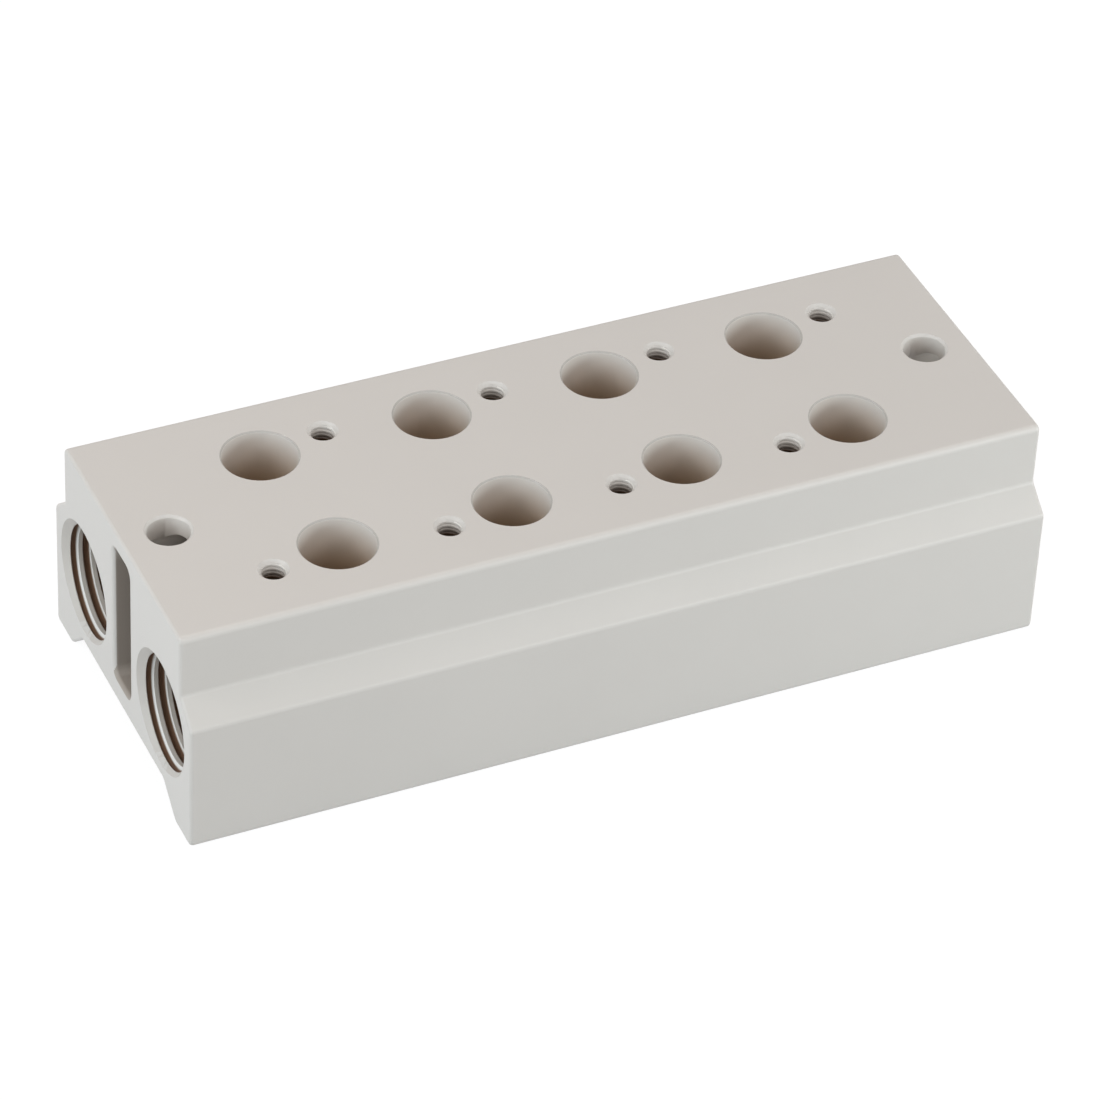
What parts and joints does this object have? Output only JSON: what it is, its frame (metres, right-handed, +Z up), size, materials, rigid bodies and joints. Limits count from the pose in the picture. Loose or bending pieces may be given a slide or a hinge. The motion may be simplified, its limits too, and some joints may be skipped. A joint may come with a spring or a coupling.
{
  "type": "pneumatic valve manifold base",
  "caption": "Stepped off-white metal bar with ports in its ends, air bores and screw holes in its top face, and a hollow between its feet.",
  "frame": {"origin": "middle of the plane of the two feet", "axes": "+X along the bar, +Y across it to the back, +Z up out of the valve face"},
  "size_m": [0.0952, 0.0388, 0.0249],
  "materials": {
    "coated_aluminium": "satin"
  },
  "bodies": {
    "root": {"manifold_block": "coated_aluminium"}
  },
  "joints": []
}
